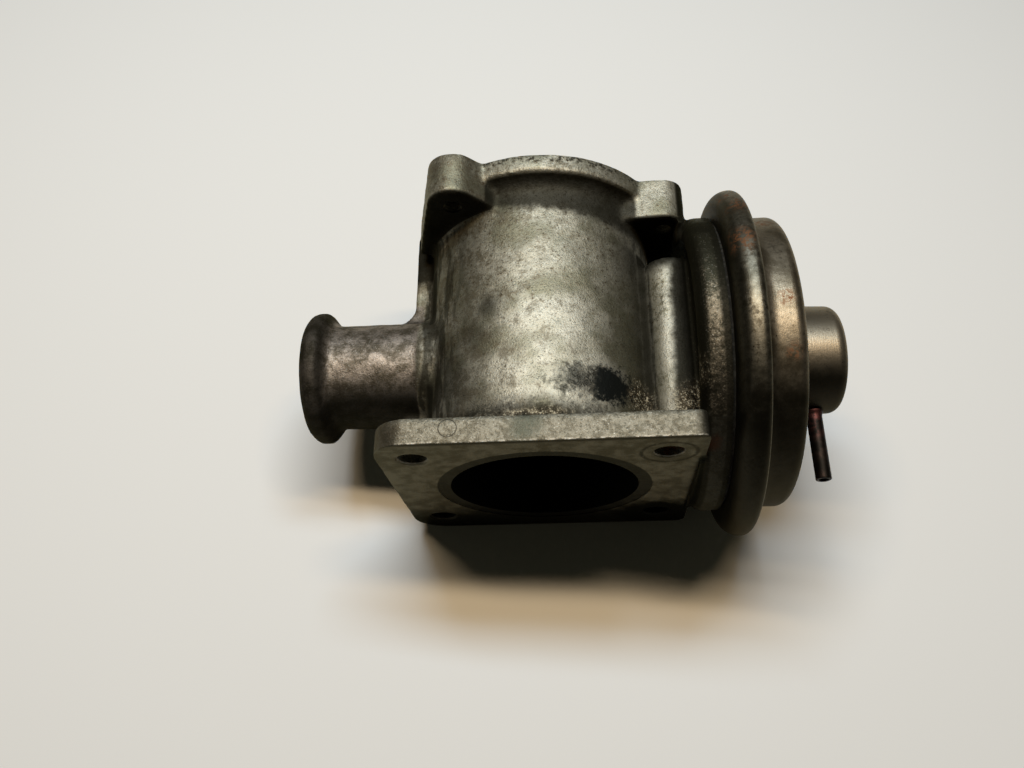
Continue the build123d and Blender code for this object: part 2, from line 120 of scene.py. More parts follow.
class Shop:
    """Makes one material, node by node. Its x, y and z are the place on the piece, in mm."""

    def __init__(self, name):
        self.material = bpy.data.materials.new(name)
        self.material.use_nodes = True
        self.tree = self.material.node_tree
        self.tree.nodes.clear()
        self.place = self.node("ShaderNodeTexCoord", out="Object")
        apart = self.node("ShaderNodeSeparateXYZ", inputs={"Vector": self.place}, every=True)
        self.x, self.y, self.z = (wire * (1 / MM) for wire in apart)

    def node(self, kind, settings=None, inputs=None, out=0, every=False):
        """Adds a node, sets it, and gives its output out, or every output."""
        made = self.tree.nodes.new(kind)
        for name, value in (settings or {}).items():
            setattr(made, name, value)
        for name, value in (inputs or {}).items():
            if isinstance(value, Wire):
                self.tree.links.new(value.socket, made.inputs[name])
            else:
                made.inputs[name].default_value = value
        if every:
            return [Wire(self, socket) for socket in made.outputs]
        return Wire(self, made.outputs[out])

    def noise(self, size_mm, detail=3.0, rough=0.55, stretch=(1, 1, 1)):
        """Cloudy noise from 0 to 1, with blots of about that size."""
        place = self.place
        if stretch != (1, 1, 1):
            place = self.node("ShaderNodeMapping", inputs={"Vector": place, "Scale": stretch})
        return self.node("ShaderNodeTexNoise", inputs={
            "Vector": place, "Scale": 1 / (size_mm * MM), "Detail": detail, "Roughness": rough})

    def spot(self, centre, radius, soft=0.6):
        """1 inside a soft ball about a point in mm, 0 outside it, with a ragged edge."""
        away = ((self.x - centre[0]) ** 2 + (self.y - centre[1]) ** 2 + (self.z - centre[2]) ** 2) ** 0.5
        uneven = away * (0.3 + 1.4 * self.noise(radius * 0.7, 5, 0.7))
        return uneven.below(radius * (1 - soft), radius)

    def mix(self, first, second, factor):
        """First colour where the factor is 0, second colour where it is 1."""
        both = {6: (*first, 1) if isinstance(first, tuple) else first,
                7: (*second, 1) if isinstance(second, tuple) else second, 0: factor}
        return self.node("ShaderNodeMix", {"data_type": "RGBA"}, both, out=2)

    def bump(self, height, depth_mm, under=None):
        """Normal of a surface whose height goes from 0 to 1 over that depth."""
        inputs = {"Height": height, "Distance": depth_mm * MM, "Strength": 1.0}
        if under is not None:
            inputs["Normal"] = under
        return self.node("ShaderNodeBump", inputs=inputs)

    def finish(self, **looks):
        """Puts the values and links on a Principled shader and returns the material."""
        inputs = {name.replace("_", " "): value for name, value in looks.items()}
        if isinstance(inputs.get("Base Color"), tuple):
            inputs["Base Color"] = (*inputs["Base Color"], 1)
        shader = self.node("ShaderNodeBsdfPrincipled", inputs=inputs)
        self.node("ShaderNodeOutputMaterial", inputs={"Surface": shader}, every=True)
        return self.material


STEM_Y = 34.5
PAPER_HALF = 1.5
FLOOR_UP = Vector((0.104, 0.065, 0.992)).normalized()
CAN_TOUCHES = Vector((51.5, STEM_Y, -47.35))
paper = Shop("white_paper").finish(Base_Color=(0.80, 0.803, 0.80), Roughness=0.9)
sheet = bmesh.new()
bmesh.ops.create_grid(sheet, x_segments=2, y_segments=2, size=PAPER_HALF)
tilt = Vector((0, 0, 1)).rotation_difference(FLOOR_UP).to_matrix().to_4x4()
bmesh.ops.transform(sheet, matrix=Matrix.Translation(CAN_TOUCHES * MM) @ tilt, verts=sheet.verts)
floor_mesh = bpy.data.meshes.new("floor")
sheet.to_mesh(floor_mesh)
sheet.free()
floor_mesh.materials.append(paper)
floor = bpy.data.objects.new("floor", floor_mesh)
bpy.context.scene.collection.objects.link(floor)


# ---- Lights
# A long warm lamp and a shorter cool one stand behind the valve. The warm one is steeper, so the cool
# one's shadow reaches farther forward over the paper.
AIM = Vector((10, -10, -38))


def lamp(name, towards, distance, size, watts, colour):
    """Lamp that stands in a direction from the valve and faces it; lengths in metres."""
    data = bpy.data.lights.new(name, "AREA")
    data.shape = "RECTANGLE"
    data.size, data.size_y = size
    data.energy = watts
    data.color = colour
    made = bpy.data.objects.new(name, data)
    made.location = AIM * MM + Vector(towards).normalized() * distance
    made.rotation_euler = Vector(towards).to_track_quat("Z", "Y").to_euler()
    bpy.context.scene.collection.objects.link(made)


LAMP_DISTANCE = 0.75
lamp("warm_lamp", (0.02, 0.245, 0.96), LAMP_DISTANCE, size=(0.62, 0.05), watts=3.4, colour=(1.0, 0.75, 0.46))
lamp("cool_lamp", (0.04, 0.405, 0.91), LAMP_DISTANCE, size=(0.46, 0.11), watts=3.5, colour=(0.64, 0.83, 1.0))
world = bpy.data.worlds.new("studio")
world.use_nodes = True
world.node_tree.nodes["Background"].inputs["Color"].default_value = (1.0, 0.95, 0.62, 1)
world.node_tree.nodes["Background"].inputs["Strength"].default_value = 0.02
bpy.context.scene.world = world

# ---- Cast housing
# Intake tube, manifold flange, hose flange with three lugs, exhaust neck, bridge and dish in one
# aluminium casting. The faces, bores and screw holes are machined after casting.
ALONG_X = Vector((1, 0, 0))
ALONG_Y = Vector((0, 1, 0))
ORIGIN = Vector((0, 0, 0))
STEM = Vector((0, STEM_Y, 0))
SPARE = 1.0
TUBE_R = 31.6
TUBE_LENGTH = 81.7
HOSE_FLANGE_R = 35.9
HOSE_FLANGE_THICK = 5.1
HOSE_FLANGE_ROOT = 4.3
FLANGE_HALF = (40.0, 36.3)
FLANGE_THICK = 6.8
FLANGE_CORNERS = [9, 2.5, 2.5, 9]
LUG_CIRCLE_R = 38.4
LUG_HEIGHT = 12.4
LUGS = [(125.0, 6.9, 45.0), (24.2, 6.3, 93.0), (254.6, 6.9, None)]
NECK_R = 14.8
NECK_START = -20
NECK_END = -64.9
NECK_COLLAR = (-33.4, -32.4, 1)
BEAD_R = 18.75
BEAD_X = (-63.6, -60.6, -57.7)
BEAD_FLARE = 2.5
RIB_X = -36.2
RIB_HALF = 5.0
RIB_INSIDE_X = -25
COVE = 6.0
BRIDGE_X = (29, 42.2)
BRIDGE_Y = (3.4, 57.6)
BRIDGE_HALF = 20.4
BRIDGE_CORNER = 6.5
BRIDGE_ROOT_X = (25, 41)
BRIDGE_ROOT_HALF = 10
DISH_R = 40.3
DISH_RIM_X = 39.0
DISH_FLOOR_X = 41.2
DISH_STEP_R = (33.0, 34.5)
DISH_END = 46.2


def rounded(corners, radii, steps=8, closed=False):
    """Outline with each corner rounded to its radius; 0 keeps it sharp."""
    points = []
    count = len(corners)
    for spot, (corner, radius) in enumerate(zip(corners, radii)):
        here = Vector(corner)
        if not radius or (not closed and spot in (0, count - 1)):
            points.append(tuple(here))
            continue
        before = (Vector(corners[spot - 1]) - here).normalized()
        after = (Vector(corners[(spot + 1) % count]) - here).normalized()
        half = before.angle(after) / 2
        middle = here + (before + after).normalized() * (radius / sin(half))
        reach = radius * cos(half) / sin(half)
        start = here + before * reach - middle
        sweep = (here + after * reach - middle).angle_signed(start)
        for step in range(steps + 1):
            angle = sweep * step / steps
            turned = Vector((start.x * cos(angle) - start.y * sin(angle),
                             start.x * sin(angle) + start.y * cos(angle)))
            points.append(tuple(middle + turned))
    return points


def lathe(shell, axis, centre, outline, steps=160):
    """Spins an outline of (along, radius) points, in mm, about an axis."""
    verts = [shell.verts.new((centre + axis * along + Vector((0, 0, radius))) * MM)
             for along, radius in outline]
    edges = [shell.edges.new(pair) for pair in zip(verts, verts[1:])]
    bmesh.ops.spin(
        shell, geom=verts + edges, cent=centre * MM, axis=axis, angle=tau, steps=steps, use_merge=True)


def raise_face(shell, corners, way):
    """Solid between a flat outline and the same outline moved by way; all in mm."""
    face = shell.faces.new([shell.verts.new(Vector(corner) * MM) for corner in corners])
    grown = bmesh.ops.extrude_face_region(shell, geom=[face])
    top = [item for item in grown["geom"] if isinstance(item, bmesh.types.BMVert)]
    bmesh.ops.translate(shell, vec=way * MM, verts=top)


def prism(shell, outline, y_from, y_to):
    """Solid over an outline of (x, z) points between two heights along the tube."""
    raise_face(shell, [(x, y_from, z) for x, z in outline], ALONG_Y * (y_to - y_from))


def box_outline(x_range, half_z):
    """Corners of a rectangle that is centred on z = 0."""
    return [(x_range[0], -half_z), (x_range[1], -half_z), (x_range[1], half_z), (x_range[0], half_z)]


def ring_of(radius, centre, steps=48):
    """Round outline."""
    return [(centre[0] + radius * cos(tau * i / steps), centre[1] + radius * sin(tau * i / steps))
            for i in range(steps)]


def on_circle(angle, radius=1):
    """Point on a circle, at an angle in degrees."""
    return radius * cos(radians(angle)), radius * sin(radians(angle))


def settle(workpiece):
    """Makes what the modifiers do to a piece final."""
    bpy.context.view_layer.update()
    seen = workpiece.evaluated_get(bpy.context.evaluated_depsgraph_get())
    mesh = bpy.data.meshes.new_from_object(seen)
    workpiece.modifiers.clear()
    workpiece.data = mesh


def shade(workpiece, smooth_below):
    """Smooth surfaces, with an edge wherever faces meet at more than that angle."""
    workpiece.data.shade_smooth()
    workpiece.data.set_sharp_from_angle(angle=radians(smooth_below))


def dress(workpiece, material):
    """Gives a whole piece one material."""
    workpiece.data.materials.clear()
    workpiece.data.materials.append(material)


def piece(name, shell, smooth_below=35):
    """Makes an object of a finished shell."""
    bmesh.ops.remove_doubles(shell, verts=shell.verts, dist=1e-6)
    bmesh.ops.recalc_face_normals(shell, faces=shell.faces)
    mesh = bpy.data.meshes.new(name)
    shell.to_mesh(mesh)
    shell.free()
    made = bpy.data.objects.new(name, mesh)
    shade(made, smooth_below)
    bpy.context.scene.collection.objects.link(made)
    return made


def block(low, high):
    """Plain block between two corners, in mm."""
    shell = bmesh.new()
    bmesh.ops.create_cube(shell, size=1)
    size = Vector(high) - Vector(low)
    middle = (Vector(high) + Vector(low)) / 2
    bmesh.ops.scale(shell, vec=size * MM, verts=shell.verts)
    bmesh.ops.translate(shell, vec=middle * MM, verts=shell.verts)
    return piece("tool", shell)


def drill(axis, centre, outline, steps=96):
    """Turned cutter whose outline is (along, radius) points in mm."""
    shell = bmesh.new()
    lathe(shell, axis, centre, outline, steps)
    return piece("tool", shell)


def machine(workpiece, tool):
    """Cuts the tool's shape out of the workpiece, and puts the tool away."""
    cut = workpiece.modifiers.new("cut", "BOOLEAN")
    cut.operation = "DIFFERENCE"
    cut.solver = "MANIFOLD"
    cut.object = tool
    settle(workpiece)
    bpy.data.objects.remove(tool)


def lug_web(angle, lug_r, flank):
    """Outline of a lug's web: its outer sides touch the round flange, its inner flank is straight."""
    centre = Vector(on_circle(angle)) * LUG_CIRCLE_R
    spread = degrees(acos((HOSE_FLANGE_R - lug_r) / LUG_CIRCLE_R))
    side = 1 if flank is None or (flank - angle) % 360 > 180 else -1
    outer = Vector(on_circle(angle + side * spread))
    if flank is None:
        inner = Vector(on_circle(angle - side * spread))
        inner_end = inner * HOSE_FLANGE_R
    else:
        inner = Vector(on_circle(flank))
        inner_end = centre + inner * lug_r + Vector((inner.y, -inner.x)) * (side * 2 * lug_r)
    return [centre + outer * lug_r, outer * HOSE_FLANGE_R, Vector((0, 0)), inner_end, centre + inner * lug_r]


# the raw casting, with spare metal where it is machined later
casting = bmesh.new()
rim_y = TUBE_LENGTH - HOSE_FLANGE_THICK
lug_y = TUBE_LENGTH - LUG_HEIGHT
tube_side = rounded(
    [(0, 0), (0, TUBE_R), (rim_y, TUBE_R), (rim_y, HOSE_FLANGE_R)], [0, 0, HOSE_FLANGE_ROOT, 0])
lathe(casting, ALONG_Y, ORIGIN, tube_side + [(TUBE_LENGTH + SPARE, HOSE_FLANGE_R), (TUBE_LENGTH + SPARE, 0)])
for lug_angle, lug_r, lug_flank in LUGS:
    prism(casting, ring_of(lug_r, on_circle(lug_angle, LUG_CIRCLE_R)), lug_y, TUBE_LENGTH + SPARE)
    prism(casting, lug_web(lug_angle, lug_r, lug_flank), lug_y, TUBE_LENGTH + SPARE)
flange_outline = box_outline((-FLANGE_HALF[0], FLANGE_HALF[0]), FLANGE_HALF[1])
prism(casting, rounded(flange_outline, FLANGE_CORNERS, closed=True), -SPARE, FLANGE_THICK)
collar_from, collar_to, collar_high = NECK_COLLAR
neck_side = rounded(
    [(NECK_START, 0), (NECK_END - SPARE, 0), (NECK_END - SPARE, BEAD_R - BEAD_FLARE), (BEAD_X[0], BEAD_R),
     (BEAD_X[1], BEAD_R), (BEAD_X[2], NECK_R), (collar_from, NECK_R), (collar_to, NECK_R + collar_high),
     (NECK_START, NECK_R + collar_high), (NECK_START, 0)],
    [0, 0, 0.6, 0.8, 0.8, 1.2, 0.5, 0.5, 0, 0], steps=4)
lathe(casting, ALONG_X, STEM, neck_side)
rib_foot_x = RIB_X - COVE - 3
for way, end_y in ((1, rim_y + 0.5), (-1, FLANGE_THICK / 2)):
    foot_y = STEM_Y + way * (NECK_R - 0.8)
    rib_side = rounded([(rib_foot_x, foot_y), (RIB_X, foot_y), (RIB_X, end_y)], [0, COVE, 0])
    rib_side += [(RIB_INSIDE_X, end_y), (RIB_INSIDE_X, STEM_Y), (rib_foot_x, STEM_Y)]
    raise_face(casting, [(x, y, -RIB_HALF) for x, y in rib_side], Vector((0, 0, 2 * RIB_HALF)))
prism(casting, rounded(box_outline(BRIDGE_X, BRIDGE_HALF), [BRIDGE_CORNER] * 4, closed=True), *BRIDGE_Y)
prism(casting, box_outline(BRIDGE_ROOT_X, BRIDGE_ROOT_HALF), *BRIDGE_Y)
dish_side = rounded(
    [(DISH_END + SPARE, 0), (DISH_FLOOR_X, 0), (DISH_FLOOR_X, DISH_STEP_R[0]), (DISH_RIM_X, DISH_STEP_R[1]),
     (DISH_RIM_X, DISH_R), (DISH_END + SPARE, DISH_R), (DISH_END + SPARE, 0)],
    [0, 0, 1.5, 0.8, 3.6, 0, 0])
lathe(casting, ALONG_X, STEM, dish_side)
housing = piece("housing_casting", casting)

# one skin over all of it, with soft roots and the sand's unevenness
skin = housing.modifiers.new("skin", "REMESH")
skin.mode = "VOXEL"
skin.voxel_size = 0.8 * MM
relax = housing.modifiers.new("relax", "SMOOTH")
relax.factor = 0.5
relax.iterations = 5
lumps = bpy.data.textures.new("sand lumps", "CLOUDS")
lumps.noise_scale = 0.006
lumps.noise_depth = 3
sand = housing.modifiers.new("sand", "DISPLACE")
sand.texture = lumps
sand.texture_coords = "GLOBAL"
sand.strength = 0.35 * MM
sand.mid_level = 0.5
settle(housing)

# machined faces: manifold face up to the dish's rim, hose face, neck end and actuator seat;
# a tool reaches well past the metal, so its outer sizes only have to be large enough
MILL_END_X = 41
RIM_CLEAR = 0.1
mill = block((-60, -10, -60), (MILL_END_X, 0, 60))
guard_x, guard_r = DISH_RIM_X - RIM_CLEAR, DISH_R + RIM_CLEAR
machine(mill, drill(ALONG_X, STEM, [(guard_x, 0), (guard_x, guard_r), (50, guard_r), (50, 0)]))
machine(housing, mill)
machine(housing, block((-70, TUBE_LENGTH, -70), (70, TUBE_LENGTH + 10, 70)))
machine(housing, block((-80, 0, -40), (NECK_END, 70, 40)))
machine(housing, block((DISH_END, -20, -60), (60, 90, 60)))

# intake bore round the guide's boss, with a shallow step at the manifold face
BORE_R = 25.0
BOSS_X = 19.5
BOSS_R = 8
BORE_STEP_R = 28.55
BORE_STEP_DEPTH = 0.2
OVERRUN = 20
bore_side = [(-OVERRUN, 0), (-OVERRUN, BORE_R), (TUBE_LENGTH + OVERRUN, BORE_R), (TUBE_LENGTH + OVERRUN, 0)]
bore = drill(ALONG_Y, ORIGIN, bore_side, 192)
boss = [(BOSS_X, 0), (BOSS_X, BOSS_R - 0.8), (BOSS_X + 0.8, BOSS_R), (35, BOSS_R), (35, 0)]
machine(bore, drill(ALONG_X, STEM, boss))
machine(housing, bore)
bore_step = [(-OVERRUN, 0), (-OVERRUN, BORE_STEP_R), (BORE_STEP_DEPTH, BORE_STEP_R), (BORE_STEP_DEPTH, 0)]
machine(housing, drill(ALONG_Y, ORIGIN, bore_step, 192))

# gas passage with its chamfer, seat pocket, bush bore and seal pocket
PASSAGE_R = 11
SEAT_POCKET_R = 12.5
SEAT_POCKET_X = -31
BUSH_R = 5
SEAL_POCKET_R = 6.4
SEAL_POCKET_X = 42
machine(housing, drill(ALONG_X, STEM, [
    (NECK_END - 9, 0), (NECK_END - 9, PASSAGE_R + 1), (NECK_END, PASSAGE_R + 0.8),
    (NECK_END + 0.8, PASSAGE_R), (SEAT_POCKET_X, PASSAGE_R), (SEAT_POCKET_X, SEAT_POCKET_R),
    (-10, SEAT_POCKET_R), (-10, BUSH_R), (SEAL_POCKET_X, BUSH_R), (SEAL_POCKET_X, SEAL_POCKET_R),
    (60, SEAL_POCKET_R), (60, 0)]))

# bolt holes, tapped lug holes and screw holes
BOLT_HALF = (31.1, 25.4)
BOLT_HOLE_R = 3.6
BOLT_CHAMFER = (0.5, 0.6)
TAP_R = 2.5
THREAD_DEPTH = 0.45
PITCH = 1
THREAD_TURNS = 17
SCREW_CIRCLE_R = 32.8
SCREW_HOLE_R = 1.9
SCREW_HOLE_X = 41.6
bolt_hole = [(-9, 0), (-9, BOLT_HOLE_R + BOLT_CHAMFER[1]), (0, BOLT_HOLE_R + BOLT_CHAMFER[1]),
             (BOLT_CHAMFER[0], BOLT_HOLE_R), (12, BOLT_HOLE_R), (12, 0)]
for side_x in (-1, 1):
    for side_z in (-1, 1):
        machine(housing, drill(ALONG_Y, Vector((side_x * BOLT_HALF[0], 0, side_z * BOLT_HALF[1])), bolt_hole))
tap = [(lug_y - 5, 0), (lug_y - 5, TAP_R)]
for thread in range(THREAD_TURNS):
    thread_y = lug_y - 4 + thread * PITCH
    tap += [(thread_y, TAP_R), (thread_y + PITCH / 2, TAP_R + THREAD_DEPTH)]
tap += [(TUBE_LENGTH + 14, TAP_R), (TUBE_LENGTH + 14, 0)]
for lug_angle, lug_r, lug_flank in LUGS:
    lug_x, lug_z = on_circle(lug_angle, LUG_CIRCLE_R)
    machine(housing, drill(ALONG_Y, Vector((lug_x, 0, lug_z)), tap, 48))
screw_hole = [(SCREW_HOLE_X, 0), (SCREW_HOLE_X, SCREW_HOLE_R), (60, SCREW_HOLE_R), (60, 0)]
for screw_angle in (0, 120, 240):
    screw_y, screw_z = on_circle(screw_angle, SCREW_CIRCLE_R)
    machine(housing, drill(ALONG_X, STEM + Vector((0, screw_y, screw_z)), screw_hole, 32))
shade(housing, 38)

# the look: clean grey casting first, then each stain, kind of dirt and painted shade laid over it by its own
# mask
CAST_SHADE = (0.20, 0.19, 0.135)
CAST_CLEAN = (0.46, 0.44, 0.365)
BROWN_BLOTCH = (0.125, 0.105, 0.068)
UPPER_STAIN = (0.16, 0.138, 0.088)
BROWN_DOT = (0.075, 0.056, 0.034)
NECK_CLEAN = (0.36, 0.31, 0.265)
NECK_BURNT = (0.10, 0.084, 0.062)
DISH_DARK = (0.036, 0.034, 0.022)
DISH_CRUMB = (0.20, 0.168, 0.120)
FLANGE_SHADE = (0.105, 0.095, 0.070)
FLANGE_CLEAN = (0.20, 0.185, 0.145)
BRIGHT_GRAIN = (0.62, 0.60, 0.54)
DARK_GRAIN = (0.05, 0.046, 0.033)
# colour of the painted highlight on the bridge's front
BRIDGE_HIGHLIGHT = (0.46, 0.44, 0.37)
# one dark colour for both the real grime and the painted shade
GRIME_AND_SHADE = (0.013, 0.012, 0.008)
OIL_FILM = (0.026, 0.026, 0.021)
WET_OIL = (0.014, 0.016, 0.015)
CRUST = (0.13, 0.105, 0.068)
SALT = (0.55, 0.49, 0.36)
PIT = (0.015, 0.013, 0.009)
# heights along the tube, each as the two ends of a soft edge
OVER_FLANGE = (6.8, 7.2)
UNDER_LUGS = (69.7, 70.4)
UNDER_RIM = (76.4, 77.0)

metal = Shop("cast_aluminium")
from_bore = (metal.x ** 2 + metal.z ** 2) ** 0.5
from_stem = ((metal.y - STEM_Y) ** 2 + metal.z ** 2) ** 0.5
broad = metal.noise(16, 3)
patches = metal.noise(4.5, 6, 0.66)
crumbs = metal.noise(1.3, 4, 0.7)
grain = metal.noise(0.45, 2, 0.7)
streaks = metal.noise(3, 4, 0.6, stretch=(1, 0.2, 1))
ragged = 9 * (patches - 0.5) + 3 * (crumbs - 0.5)
on_face = metal.y.below(0.25, 0.3) * from_bore.above(24.9, 25.0) * metal.x.below(39.8, 40.1)
on_flange = metal.y.below(7.0, 7.6) * (1 - on_face)
on_neck = metal.x.below(-34, -33) * from_stem.below(19.6, 21)
on_dish = metal.x.above(38.5, 39.5)

# clean casting, blotched and grained; browner on the hot neck, dark and speckled on the dish
tone = metal.mix(CAST_SHADE, CAST_CLEAN, (broad + 0.35 * (patches - 0.5)).above(0.36, 0.60))
blotches = (patches + 0.4 * (crumbs - 0.5) - 0.004 * metal.x).above(0.50, 0.68)
tone = metal.mix(tone, BROWN_BLOTCH, blotches * 0.7)
upper_stain = (metal.y + 3 * ragged).above(28, 60) * (broad + crumbs - 0.5).above(0.25, 0.70)
tone = metal.mix(tone, UPPER_STAIN, upper_stain * 0.52)
dots = (crumbs + 0.5 * grain).above(0.84, 0.92) * (metal.y + 2 * ragged).above(15, 45)
tone = metal.mix(tone, BROWN_DOT, dots * 0.8)
neck_tone = metal.mix(NECK_CLEAN, NECK_BURNT, (patches + 0.3 * crumbs).above(0.50, 0.78))
tone = metal.mix(tone, neck_tone, on_neck)
dish_crust = (metal.z + 0.8 * ragged).above(18, 30) * (metal.y + ragged).below(30, 44)
dish_crust = dish_crust * metal.x.above(40.6, 41.4)
dish_crumbs = (0.7 * crumbs + 0.35 * grain + 0.3 * patches + 0.16 * dish_crust).above(0.70, 0.90)
dish_tone = metal.mix(DISH_DARK, DISH_CRUMB, dish_crumbs)
tone = metal.mix(tone, dish_tone, on_dish)
flange_tone = metal.mix(FLANGE_SHADE, FLANGE_CLEAN, (patches + 0.8 * (crumbs - 0.5)).above(0.36, 0.6))
tone = metal.mix(tone, flange_tone, on_flange)
tone = metal.mix(tone, BRIGHT_GRAIN, grain.above(0.60, 0.74) * crumbs.above(0.35, 0.6) * 0.55)
tone = metal.mix(tone, DARK_GRAIN, grain.below(0.34, 0.44) * crumbs.below(0.5, 0.62) * 0.7)

# painted shade under the rim and the lugs, down the flanks, low on the left, on the undersides and at the
# neck's root; real grime along the tube's root, in marks on the hose rim and in smudges
near_tube = from_bore.below(34.6, 35.6)
# painted shade and shadow on the tube under the hose flange's rim
under_rim = (metal.y + 0.5 * ragged + 0.09 * metal.x).above(65.5, 69.5) * metal.y.below(*UNDER_RIM)
under_rim = under_rim * near_tube
# painted shade on the lugs' undersides
under_lugs = metal.y.above(68.5, 69.0) * metal.y.below(69.7, 70.6) * from_bore.above(31.9, 32.4)
under_lugs = under_lugs * metal.x.above(-30, -29).most(abs(metal.z).above(7, 9))
rim_marks = (metal.y + 0.25 * ragged).above(79.2, 80.4) * from_bore.below(36.4, 36.7)
rim_marks = rim_marks * crumbs.above(0.48, 0.58)
# painted shade down the tube's flanks, broken into streaks
flanks = (abs(metal.x) - 0.09 * metal.x + 0.6 * ragged).above(13.5, 28.5) * (1 - on_neck) * (1 - on_dish)
flanks = flanks * (0.25 + 0.75 * streaks.above(0.40, 0.56)) * metal.y.above(*OVER_FLANGE) * near_tube
root = (metal.y + 0.8 * ragged + 0.06 * metal.x).below(9.0, 15.5) * metal.y.above(6.6, 7.0)
root = root * (0.55 + 0.45 * crumbs.below(0.50, 0.62))
# painted shade low on the tube's left flank, in streaks
low_left = (metal.x + 0.6 * ragged).below(-25, -9) * (metal.y + ragged).below(12, 34)
low_left = low_left * metal.y.above(*OVER_FLANGE) * near_tube * (1 - on_neck)
low_left = low_left * (0.45 + 0.4 * streaks.above(0.42, 0.6))
# painted shade on the neck's underside
neck_low = on_neck * (metal.z + 0.3 * (metal.y - STEM_Y) + 0.6 * ragged).below(5, 13)
# painted shade low at the neck's root, beside rib and flange
neck_root = (metal.x + 0.5 * ragged).above(-46, -38) * on_neck * (metal.z + 0.25 * metal.y).below(14, 19)
# the bead is darkened all round, and more on its lower side as painted shade
bead = metal.x.below(-59.6, -57.6) * (0.88 + 0.12 * (metal.z + ragged).below(4, 14))
# painted shade over the casting's lower side
lower_side = (metal.z + ragged).below(-22, 6) * (1 - on_face)
smudges = metal.spot((-12.5, 40, 29), 6, 0.9).most(metal.spot((-17, 33, 27), 8, 0.9) * 0.6)

# painted shade in the gaps beside rib and bridge, down the tube's right flank, under the left web, at the
# bridge's top end and over the dish's front and far side; grit and painted shade on the bridge's outer side;
# and darker where the dish meets the flange
beside_bridge = metal.y.above(*OVER_FLANGE) * metal.y.below(61, 63)
# painted shade in the gaps between the tube and the rib and bridge
right_gap = metal.x.above(24.6, 26.4) * metal.z.below(15.5, 17.8)
left_gap = metal.x.below(-28.0, -27.0) * metal.x.above(-32.6, -30.2) * metal.z.below(12.5, 15.5)
gaps = right_gap.most(left_gap) * beside_bridge
# painted shade on the tube's right flank beside the bridge
right_flank = (metal.x + 0.5 * ragged).above(17.5, 27.0) * metal.x.below(28.8, 29.4)
right_flank = right_flank * (metal.y + ragged).below(60, 66) * beside_bridge
# painted shade under the left lug's web and rim, down onto the rib
under_web = metal.y.below(*UNDER_LUGS) * metal.z.below(17, 20)
under_web = under_web.most(metal.y.below(76.2, 76.8) * metal.z.below(5.8, 7.0))
under_web = under_web * metal.x.below(-28.8, -28.0) * (metal.y + 0.3 * ragged).above(59.5, 63)
# grit and painted shade on the bridge's outer side
grit_and_shade = (metal.x + 0.3 * ragged - 0.03 * (metal.y - 20)).above(33.0, 35.8) * metal.x.below(40.2, 40.8)
# painted shadow at the bridge's top end, and painted shade on the dish's far side
bridge_end = metal.x.above(28.5, 29.5) * beside_bridge * (metal.y + 0.3 * ragged).above(52, 57)
shaded_end = bridge_end.most(on_dish * metal.x.above(43.6, 45.0))
# painted shade on the dish's front beside the flange
by_flange = on_dish * (metal.y + 0.4 * ragged).below(7, 13) * (0.74 + 0.26 * metal.x.below(40.8, 42.0))
dish_front = on_dish * (metal.x + 0.06 * ragged).below(40.6, 42.2) * (metal.z + ragged).above(-5, 5)
# painted shade on the dish's lower front, broken by crumbs
dish_low = on_dish * (metal.y + 0.8 * ragged).below(12, 36)
dish_low = dish_low * (1 - 0.65 * (crumbs + 0.4 * grain).above(0.74, 0.86))
flange_end = on_flange * (metal.x + 0.25 * ragged).above(35.8, 39.0)

# painted shade and real grime gathered into one mask
darkening = under_lugs
for dark_place, strength in (
        (under_rim, 0.92), (rim_marks, 0.8), (flanks, 0.85), (root, 0.92), (neck_low, 1), (neck_root, 1),
        (bead, 1), (lower_side, 0.9), (smudges, 0.7), (low_left, 1), (under_web, 1), (gaps, 1),
        (beside_bridge * grit_and_shade, 0.98), (right_flank, 0.82), (shaded_end, 0.97), (by_flange, 1),
        (dish_front, 0.8), (dish_low, 0.85), (flange_end, 0.85)):
    darkening = darkening.most(dark_place * strength)
# painted highlight on the bridge's front side, which faces the lamps
bridge_highlight = beside_bridge * metal.x.above(28.8, 29.6) * (1 - grit_and_shade) * (1 - on_dish)
tone = metal.mix(tone, BRIDGE_HIGHLIGHT, bridge_highlight * crumbs.below(0.46, 0.58) * 0.6)
tone = metal.mix(tone, GRIME_AND_SHADE, darkening * 0.95)

# an oil patch low on the tube's front, with a thinner film on its left
oil_lie = ((metal.x - 18.8) * 0.18) ** 2 + ((metal.y - 17.5 - 0.2 * (metal.x - 19)) * 0.17) ** 2
film_lie = ((metal.x - 13.5) * 0.082) ** 2 + ((metal.y - 18) * 0.18) ** 2
above_root = metal.z.above(12, 15) * metal.y.above(7, 8)
oil = (oil_lie + 2.2 * (patches - 0.5) + 2.0 * (crumbs - 0.5)).below(0.40, 1.0)
oil = oil * above_root * metal.x.below(23.2, 24.5)
film = (film_lie + 3.2 * (patches - 0.5) + 2.2 * (crumbs - 0.5)).below(0.1, 1.0)
film = film * above_root * metal.x.below(26, 28)
film = film * (0.70 + 0.28 * (crumbs + 0.5 * grain).above(0.60, 0.80))
tone = metal.mix(tone, OIL_FILM, film * (1 - on_dish))
tone = metal.mix(tone, WET_OIL, oil * (1 - on_dish))

